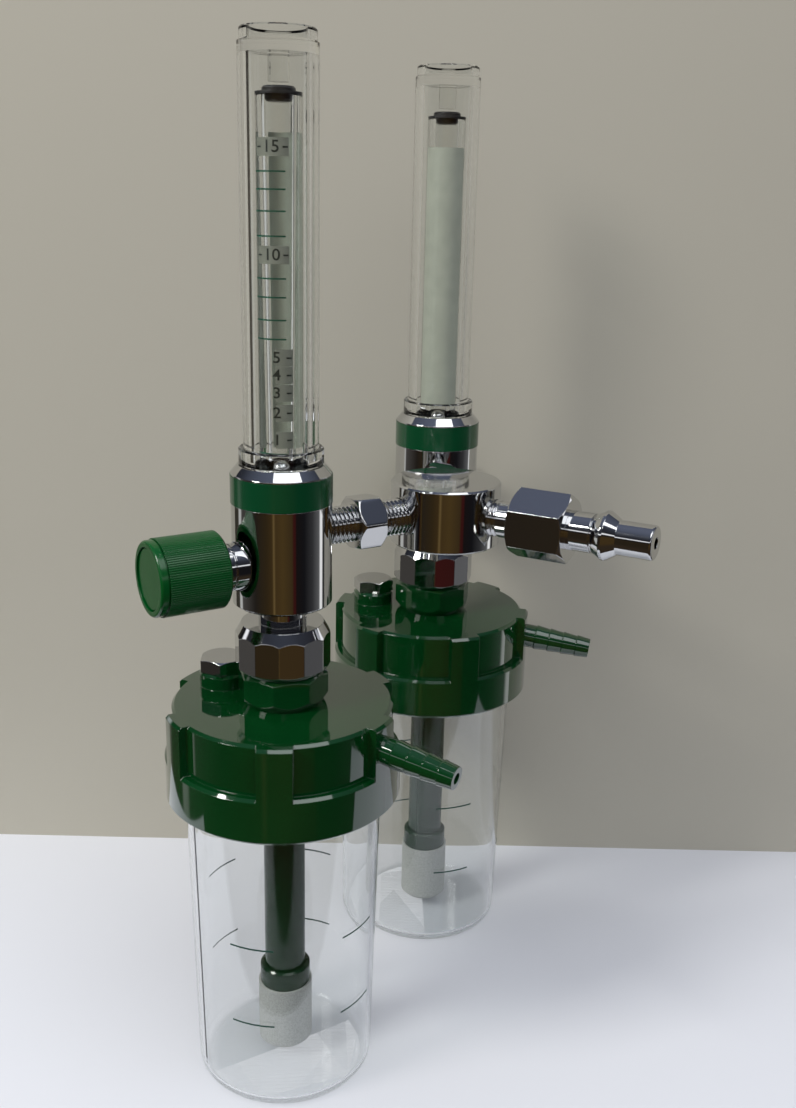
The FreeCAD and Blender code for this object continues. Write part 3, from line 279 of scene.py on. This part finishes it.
# Materials

def chrome(nodes):
    wave = nodes.noise(60.0, 3.0)
    return {"Base Color": tone(nodes, (0.60, 0.605, 0.61), 25.0, 0.03), "Metallic": 1.0,
            "Roughness": nodes.spread(nodes.noise(180.0, 4.0), 0.03, 0.07),
            "Normal": soft_normal(nodes, 0.35 * MM, wave, 0.06, 0.25 * MM)}


def moulded(color, edge, low, high, coat):
    """Glossy moulding: low and high are the limits of its roughness."""
    def build(nodes):
        grain = nodes.noise(900.0, 3.0)
        return {"Base Color": tone(nodes, color, 30.0, 0.10),
                "Roughness": nodes.spread(nodes.noise(120.0, 3.0), low, high),
                "IOR": 1.52, "Coat Weight": coat, "Coat Roughness": 0.04,
                "Normal": soft_normal(nodes, edge, grain, 0.04, 0.05 * MM)}
    return build


def clear(color):
    def build(nodes):
        flow = nodes.noise(40.0, 2.0, (1, 1, 0.15))
        return {"Base Color": color, "Transmission Weight": 1.0, "IOR": 1.49, "Roughness": 0.0,
                "Normal": nodes.add("ShaderNodeBump", {"Height": flow, "Strength": 0.05,
                                                       "Distance": 0.2 * MM}).outputs["Normal"]}
    return build


def rubber(nodes):
    return {"Base Color": tone(nodes, (0.018, 0.018, 0.018), 80.0, 0.2),
            "Roughness": nodes.spread(nodes.noise(300.0), 0.5, 0.7)}


def silicone(nodes):
    """Milky clear rings, seen through the foot of the clear covers."""
    return {"Base Color": tone(nodes, (0.80, 0.82, 0.79), 80.0, 0.05), "IOR": 1.41,
            "Transmission Weight": 0.8, "Roughness": nodes.spread(nodes.noise(300.0), 0.15, 0.3)}


def turned(color, low, high):
    """Turned metal: fine rings along the row's upright."""
    def build(nodes):
        rings = nodes.noise(200.0, 3.0, (0.2, 0.2, 20.0))
        return {"Base Color": tone(nodes, color, 60.0, 0.06), "Metallic": 1.0,
                "Roughness": nodes.spread(rings, low, high),
                "Normal": soft_normal(nodes, 0.15 * MM, rings, 0.05, 0.05 * MM)}
    return build


def porous(nodes):
    grain = nodes.noise(1500.0, 5.0)
    pores = nodes.ramp(grain, [(0.35, (0.37, 0.38, 0.35)), (0.60, (0.46, 0.47, 0.44))])
    return {"Base Color": pores, "Roughness": 0.7,
            "Normal": soft_normal(nodes, 0.6 * MM, grain, 0.25, 0.1 * MM)}


def printed(color):
    def build(nodes):
        return {"Base Color": tone(nodes, color, 200.0, 0.06), "Roughness": 0.45}
    return build


FINISHES = {
    "chrome": chrome,
    "green_moulding": moulded((0.0012, 0.040, 0.0075), 0.5 * MM, 0.04, 0.08, 1.0),
    "green_tube": moulded((0.0012, 0.026, 0.0075), 0.5 * MM, 0.12, 0.2, 0.0),
    "green_knob": moulded((0.0008, 0.080, 0.013), 0.25 * MM, 0.16, 0.24, 0.0),
    "green_band": moulded((0.0018, 0.055, 0.018), 0.1 * MM, 0.18, 0.26, 0.2),
    "clear_tube": clear((0.975, 0.985, 0.98, 1.0)),
    "clear_jar": clear((0.955, 0.965, 0.965, 1.0)),
    "black_plastic": moulded((0.012, 0.012, 0.012), 0.2 * MM, 0.30, 0.45, 0.0),
    "clear_rubber": silicone,
    "black_rubber": rubber,
    "steel": turned((0.60, 0.60, 0.61), 0.12, 0.25),
    "brass": turned((0.74, 0.52, 0.24), 0.18, 0.32),
    "porous_white": porous,
}
PRINTS = {
    "scale_white": printed((0.46, 0.48, 0.39)),
    "scale_green": printed((0.002, 0.075, 0.040)),
    "scale_black": printed((0.012, 0.018, 0.014)),
    "scale_field": printed((0.24, 0.25, 0.20)),
    "level_green": printed((0.003, 0.055, 0.035)),
}
INNER_GREEN = ("dip_tube_a", "dip_tube_b", "diffuser_collar_a", "diffuser_collar_b")


def dress_frame(materials):
    """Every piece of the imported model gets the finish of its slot; green inside the jars is duller."""
    for part in frame["record"]["subparts"]:
        node = part["node"]
        finish = "green_tube" if node in INNER_GREEN else part["material_slot"]
        mesh = frame["nodes"][node].data
        mesh.materials.clear()
        mesh.materials.append(materials[finish])


# Meshes

def add_piece(name, vertices, faces, material, body):
    mesh = bpy.data.meshes.new(name)
    mesh.from_pydata(vertices, [], faces)
    mesh.validate()
    mesh.shade_smooth()
    mesh.set_sharp_from_angle(angle=math.radians(SMOOTH_ANGLE))
    mesh.materials.append(material)
    piece = bpy.data.objects.new(name, mesh)
    bpy.context.scene.collection.objects.link(piece)
    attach(piece, body)
    return piece


def direction(heading):
    angle = math.radians(heading)
    return Vector((math.cos(angle), math.sin(angle), 0.0))


def axis_of(node):
    """The upright axis of a round node, as a point at its foot."""
    low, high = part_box(node)
    return Vector(((low.x + high.x) / 2, (low.y + high.y) / 2, low.z))


def radial_extent(node, start, along):
    """Each vertex of a turned node as its place along the axis and its distance from it."""
    places = []
    for vertex in frame["nodes"][node].data.vertices:
        offset = vertex.co - start
        place = offset.dot(along)
        places.append((place, (offset - along * place).length))
    return places


def wound(name, start, along, stations, radius_at, material, body):
    """A closed skin about an axis whose radius depends on the angle and the place along it."""
    across = Vector((0.0, 0.0, 1.0)).cross(along)
    upward = along.cross(across)
    vertices = []
    for place, side in stations:
        for step in range(THREAD_SIDES):
            angle = 2 * math.pi * step / THREAD_SIDES
            radius = radius_at(angle, place, side)
            spoke = across * math.cos(angle) + upward * math.sin(angle)
            vertices.append(start + along * place + spoke * radius)
    faces = []
    for row in range(len(stations) - 1):
        for step in range(THREAD_SIDES):
            here = row * THREAD_SIDES
            after = (step + 1) % THREAD_SIDES
            faces.append((here + step, here + after, here + THREAD_SIDES + after,
                          here + THREAD_SIDES + step))
    for row, backwards in ((0, True), (len(stations) - 1, False)):
        rim = [row * THREAD_SIDES + step for step in range(THREAD_SIDES)]
        faces.append(tuple(reversed(rim)) if backwards else tuple(rim))
    return add_piece(name, vertices, faces, material, body)


def thread_radius(crest, angle, place):
    """A right-hand V thread with narrow flats."""
    phase = (place / THREAD_PITCH - angle / (2 * math.pi)) % 1.0
    rise = abs(2 * phase - 1)
    flank = min(1.0, max(0.0, (rise - THREAD_FLAT) / (1 - 2 * THREAD_FLAT)))
    return crest - THREAD_DEPTH * flank


def threaded_nipple(tag, materials):
    """Hexagon nipple with its threads cut in; the hexagon's corners are turned back at both ends."""
    node = "hex_nipple_" + tag
    block = axis_of("manifold_block")
    low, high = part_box(node)
    meter = axis_of("meter_body_" + tag)
    start = Vector((block.x, block.y, (low.z + high.z) / 2))
    along = Vector((meter.x - block.x, meter.y - block.y, 0.0)).normalized()
    places = radial_extent(node, start, along)
    inner = min(place for place, _ in places)
    outer = max(place for place, _ in places)
    corner = max(radius for _, radius in places)
    crest = max(radius for place, radius in places if place < inner + THREAD_PITCH)
    hexagon = [place for place, radius in places if radius > (corner + crest) / 2]
    hex_start, hex_end = min(hexagon), max(hexagon)
    flats = corner * math.cos(math.pi / 6)
    turn = math.radians(NIPPLE_TURN)

    def radius_at(angle, place, side):
        if side == "thread":
            lead = min(place - inner, outer - place) / THREAD_PITCH
            return min(thread_radius(crest, angle, place), crest - THREAD_DEPTH * (1 - min(1.0, lead)))
        sixth = math.pi / 3
        face = flats / math.cos(((angle - turn) % sixth) - sixth / 2)
        depth = min(place - hex_start, hex_end - place)
        cone = flats + (corner - flats) * min(1.0, depth / HEX_CHAMFER)
        return min(face, cone)

    stations = thread_stations(inner, hex_start)
    steps = range(CHAMFER_STEPS + 1)
    stations += [(hex_start + HEX_CHAMFER * step / CHAMFER_STEPS, "hexagon") for step in steps]
    stations += [(hex_end - HEX_CHAMFER * (1 - step / CHAMFER_STEPS), "hexagon") for step in steps]
    stations += thread_stations(hex_end, outer)
    piece = wound("nipple_" + tag, start, along, stations, radius_at, materials["chrome"],
                  "meter_frame")
    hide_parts(node)


def thread_stations(start, end):
    count = int(math.ceil((end - start) / THREAD_PITCH * THREAD_STEPS))
    return [(start + (end - start) * step / count, "thread") for step in range(count + 1)]


def threaded_stem(materials):
    """The probe's stem: thread where it leaves the block, plain towards the hexagon."""
    node = "probe_stem"
    block = axis_of("manifold_block")
    low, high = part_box(node)
    start = Vector((block.x, block.y, (low.z + high.z) / 2))
    along = Vector((0.0, 1.0, 0.0))
    places = radial_extent(node, start, along)
    inner = min(place for place, _ in places)
    outer = max(place for place, _ in places)
    crest = max(radius for _, radius in places)
    thread_end = (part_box("manifold_block")[1].y - block.y) + STEM_THREAD_SHOWN

    def radius_at(angle, place, side):
        if side == "thread":
            return thread_radius(crest, angle, place)
        return crest

    stations = thread_stations(inner, thread_end) + [(thread_end, "plain"), (outer, "plain")]
    piece = wound("stem_thread", start, along, stations, radius_at, materials["chrome"],
                  "meter_frame")
    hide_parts(node)


def turned_probe(materials):
    """The probe body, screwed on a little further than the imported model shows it."""
    node = "probe_body"
    block = axis_of("manifold_block")
    low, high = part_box(node)
    centre = Vector((block.x, block.y, (low.z + high.z) / 2))
    turn = Matrix.Translation(centre) @ Matrix.Rotation(math.radians(PROBE_TURN), 4, "Y")
    turn = turn @ Matrix.Translation(-centre)
    source = frame["nodes"][node].data
    vertices = [turn @ vertex.co for vertex in source.vertices]
    faces = [tuple(face.vertices) for face in source.polygons]
    piece = add_piece("probe_shell", vertices, faces, materials["chrome"], "meter_frame")
    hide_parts(node)


# Printing

def print_patch(name, axis, radius_at, heading, half_angle, bottom, top, material, body):
    """A thin printed patch that lies round an upright axis."""
    columns = max(2, int(half_angle / PRINT_STEP) + 1)
    vertices = []
    for skin in (PRINT_GAP, PRINT_GAP + PRINT_THICKNESS):
        for height in (bottom, top):
            for column in range(columns):
                turn = heading + half_angle * (2 * column / (columns - 1) - 1)
                spoke = direction(turn) * (radius_at(height) + skin)
                vertices.append(Vector((axis.x, axis.y, height)) + spoke)
    layer = 2 * columns
    faces = []
    for first in range(columns - 1):
        inner = (first, first + columns, first + columns + 1, first + 1)
        faces.append(inner)
        faces.append(tuple(layer + index for index in reversed(inner)))
    edge = list(range(columns)) + [layer - 1 - index for index in range(columns)]
    for here, there in zip(edge, edge[1:] + edge[:1]):
        faces.append((here, there, layer + there, layer + here))
    return add_piece(name, vertices, faces, material, body)


def print_number(name, text, axis, radius, heading, height, material, body):
    """A number wrapped round an upright axis, centred at its heading and height."""
    curve = bpy.data.curves.new(name + "_outline", "FONT")
    curve.body = text
    curve.size = NUMBER_HEIGHT / FIGURE_SHARE
    curve.align_x = "CENTER"
    curve.align_y = "CENTER"
    curve.resolution_u = 4
    curve.offset = NUMBER_WEIGHT
    outline = bpy.data.objects.new(name + "_outline", curve)
    bpy.context.scene.collection.objects.link(outline)
    bpy.context.view_layer.update()
    mesh = bpy.data.meshes.new_from_object(outline.evaluated_get(
        bpy.context.evaluated_depsgraph_get()))
    bpy.data.objects.remove(outline)
    slice_upright(mesh, NUMBER_CUT)
    skin = radius + PRINT_GAP + PRINT_THICKNESS
    vertices = []
    for vertex in mesh.vertices:
        turn = heading + math.degrees(vertex.co.x / skin)
        spoke = direction(turn) * (skin + PRINT_THICKNESS)
        vertices.append(Vector((axis.x, axis.y, height + vertex.co.y)) + spoke)
    faces = [tuple(face.vertices) for face in mesh.polygons]
    bpy.data.meshes.remove(mesh)
    return add_piece(name, vertices, faces, material, body)


def slice_upright(mesh, step):
    """Cuts a flat mesh into upright strips, so that it bends round a tube."""
    shape = bmesh.new()
    shape.from_mesh(mesh)
    places = [vertex.co.x for vertex in shape.verts]
    for index in range(math.ceil(min(places) / step), math.floor(max(places) / step) + 1):
        parts = list(shape.verts) + list(shape.edges) + list(shape.faces)
        bmesh.ops.bisect_plane(shape, geom=parts, plane_co=(index * step, 0, 0), plane_no=(1, 0, 0))
    shape.to_mesh(mesh)
    shape.free()


def flow_scale(tag, materials):
    """White backing, graduations and numbers on the metering tube."""
    low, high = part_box("metering_tube_" + tag)
    cover_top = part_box("tube_cover_" + tag)[1].z
    axis = axis_of("metering_tube_" + tag)
    radius = (high.x - low.x) / 2
    heading = SCALE_HEADINGS[tag]

    def patch(name, span, bottom, top, finish, lift=0.0):
        print_patch(name + "_" + tag, axis, lambda height: radius + lift, heading + span[0], span[1],
                    bottom, top, materials[finish], "meter_frame")

    def line(name, span, height, finish, lift=0.0):
        patch(name, span, height - MARK_HEIGHT / 2, height + MARK_HEIGHT / 2, finish, lift)

    base = cover_top - SCALE_BASE * MM
    patch("scale_backing", STRIP_SPAN, base, cover_top - STRIP_TOP * MM, "scale_white")
    line("scale_base_line", MARK_SPAN, base, "scale_green")
    for value, depth in SCALE_MARKS.items():
        height = cover_top - depth * MM
        label = str(value)
        if value not in NUMBERED_MARKS:
            line("mark_" + label, MARK_SPAN, height, "scale_green")
            continue
        layout = LONG_NUMBER if len(label) > 1 else SHORT_NUMBER
        for index, place in enumerate(layout["dashes"], start=1):
            line("dash_" + label + "_" + str(index), (place, DASH_HALF_ANGLE), height, "scale_black",
                 2 * PRINT_THICKNESS)
        patch("number_field_" + label, layout["field"], height - NUMBER_FIELD_HEIGHT / 2,
              height + NUMBER_FIELD_HEIGHT / 2, "scale_field")
        print_number("number_" + label + "_" + tag, label, axis, radius, heading + layout["text"],
                     height, materials["scale_black"], "meter_frame")


def level_lines(tag, materials):
    """Upper and lower fill marks, four times round the jar."""
    axis = axis_of("jar_" + tag)
    profile = radial_extent("jar_" + tag, axis, Vector((0, 0, 1)))
    lid_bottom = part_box("humidifier_lid_" + tag)[0].z
    base = max(radius for place, radius in profile if place < JAR_FOOT_BAND)
    top = max(radius for place, radius in profile
              if lid_bottom - JAR_NECK_BELOW < place < lid_bottom + JAR_NECK_ABOVE)

    def outside(height):
        return base + (top - base) * height / lid_bottom

    for level, height in zip(("lower", "upper"), LEVEL_HEIGHTS):
        for index, place in enumerate(LEVEL_PLACES, start=1):
            name = level + "_level_" + tag + str(index)
            print_patch(name, axis, outside, LEVEL_HEADINGS[tag] + place, LEVEL_HALF_ANGLE, height,
                        height + LEVEL_LINE_HEIGHT, materials["level_green"], "bottle_" + tag)


# Stage, light and camera

def camera_axes():
    """Right, up and forward of the camera in the row frame."""
    yaw, pitch, roll = (math.radians(angle) for angle in (CAMERA_HEADING, CAMERA_PITCH, CAMERA_ROLL))
    forward = Vector((math.cos(yaw) * math.cos(pitch), math.sin(yaw) * math.cos(pitch),
                      -math.sin(pitch)))
    right = Vector((math.sin(yaw), -math.cos(yaw), 0.0))
    up = right.cross(forward)
    turned_right = right * math.cos(roll) - up * math.sin(roll)
    turned_up = right * math.sin(roll) + up * math.cos(roll)
    return turned_right, turned_up, forward


def add_camera():
    camera = bpy.data.cameras.new("camera")
    camera.sensor_fit = "VERTICAL"
    camera.sensor_height = SENSOR_HEIGHT
    camera.lens = FOCAL_PIXELS * SENSOR_HEIGHT / PHOTO_HEIGHT
    camera.clip_start = 0.01
    item = bpy.data.objects.new("camera", camera)
    right, up, forward = camera_axes()
    item.matrix_world = Matrix.Translation(CAMERA_PLACE) @ Matrix(
        (right, up, -forward)).transposed().to_4x4()
    bpy.context.scene.collection.objects.link(item)
    bpy.context.scene.camera = item


def stage_plane(name, corners, build):
    mesh = bpy.data.meshes.new(name)
    mesh.from_pydata(corners, [], [(0, 1, 2, 3)])
    material = bpy.data.materials.new(name)
    material.use_nodes = True
    build(Nodes(material.node_tree))
    mesh.materials.append(material)
    item = bpy.data.objects.new(name, mesh)
    bpy.context.scene.collection.objects.link(item)


def table_surface(nodes):
    shader = nodes.add("ShaderNodeBsdfPrincipled", {
        "Base Color": TABLE_COLOR, "Roughness": 0.5, "Specular IOR Level": 0.3})
    nodes.add("ShaderNodeOutputMaterial", {"Surface": shader.outputs["BSDF"]})


def wall_surface(nodes):
    """Plain wall that is open from behind, so that the object shows from every side."""
    shader = nodes.add("ShaderNodeBsdfPrincipled", {
        "Base Color": WALL_COLOR, "Roughness": 0.7, "Specular IOR Level": 0.3})
    behind = nodes.add("ShaderNodeNewGeometry").outputs["Backfacing"]
    open_side = nodes.add("ShaderNodeBsdfTransparent")
    mixed = nodes.add("ShaderNodeMixShader", {0: behind, 1: shader.outputs["BSDF"],
                                              2: open_side.outputs["BSDF"]})
    nodes.add("ShaderNodeOutputMaterial", {"Surface": mixed.outputs["Shader"]})


def add_stage():
    ahead = direction(CAMERA_HEADING)
    aside = direction(CAMERA_HEADING - 90)
    foot = Vector((CAMERA_PLACE.x, CAMERA_PLACE.y, 0.0)) + ahead * WALL_DISTANCE
    left = foot - aside * STAGE_HALF_WIDTH
    right = foot + aside * STAGE_HALF_WIDTH
    near = ahead * (TABLE_EDGE_DISTANCE - WALL_DISTANCE)
    top = Vector((0.0, 0.0, WALL_TOP))
    stage_plane("table", [left, left + near, right + near, right], table_surface)
    stage_plane("wall", [left, right, right + top, left + top], wall_surface)


def add_lamp(name, turn, elevation, distance, size, power, color):
    """A soft rectangular lamp aimed at the middle of the object."""
    middle = (cad_box[0] + cad_box[1]) / 2
    lamp = bpy.data.lights.new(name, "AREA")
    lamp.shape = "RECTANGLE"
    lamp.size, lamp.size_y = size
    lamp.energy = power
    lamp.color = color
    item = bpy.data.objects.new(name, lamp)
    outward = direction(CAMERA_HEADING + 180 + turn) * math.cos(math.radians(elevation))
    outward.z = math.sin(math.radians(elevation))
    item.location = middle + outward * distance
    item.rotation_euler = (-outward).to_track_quat("-Z", "Y").to_euler()
    bpy.context.scene.collection.objects.link(item)


def add_world():
    """A dim room on the camera's side, pale behind the object, with a blue-grey ceiling."""
    world = bpy.data.worlds.new("studio")
    bpy.context.scene.world = world
    world.use_nodes = True
    nodes = Nodes(world.node_tree)
    way = nodes.add("ShaderNodeTexCoord").outputs["Generated"]
    parts = nodes.add("ShaderNodeSeparateXYZ", {"Vector": way})
    azimuth = nodes.math("ARCTAN2", parts.outputs["Y"], parts.outputs["X"])
    # Share of a turn: 0.5 is the way to the camera, lower values lie to the camera's left
    offset = nodes.math("SUBTRACT", azimuth, math.radians(CAMERA_HEADING - 180))
    share = nodes.math("FRACT", nodes.math("MULTIPLY_ADD", offset, 1 / (2 * math.pi), 0.5))
    sides = nodes.ramp(share, ROOM_SIDES)
    height = nodes.math("MULTIPLY_ADD", parts.outputs["Z"], 0.5, 0.5)
    room = nodes.blend(nodes.ramp(height, CEILING_SHARE), sides, nodes.ramp(height, CEILING_TONES))
    room = nodes.blend(nodes.ramp(height, FLOOR_SHARE), room, FLOOR_TONE)
    ray = nodes.add("ShaderNodeLightPath")
    straight = nodes.math("LESS_THAN", ray.outputs["Glossy Depth"], 0.5)
    passing = nodes.math("MULTIPLY", ray.outputs["Is Transmission Ray"], straight)
    seen = nodes.math("MAXIMUM", ray.outputs["Is Camera Ray"], passing)
    color = nodes.blend(seen, room, nodes.ramp(height, PLAIN_TONES))
    soft = nodes.blend(nodes.ramp(height, SOFT_SHARE), SOFT_BELOW, SOFT_ABOVE)
    color = nodes.blend(ray.outputs["Is Diffuse Ray"], color, soft)
    background = nodes.add("ShaderNodeBackground", {"Color": color, "Strength": 1.0})
    nodes.add("ShaderNodeOutputWorld", {"Surface": background.outputs["Background"]})


def main():
    clear_scene()
    materials = {name: new_material(name, build) for name, build in {**FINISHES, **PRINTS}.items()}
    dress_frame(materials)
    threaded_stem(materials)
    turned_probe(materials)
    for tag in UNITS:
        threaded_nipple(tag, materials)
        flow_scale(tag, materials)
        level_lines(tag, materials)
    add_stage()
    add_world()
    for name, lamp in LAMPS.items():
        add_lamp(name, **lamp)
    bpy.context.scene.view_settings.view_transform = "Standard"
    add_camera()


main()
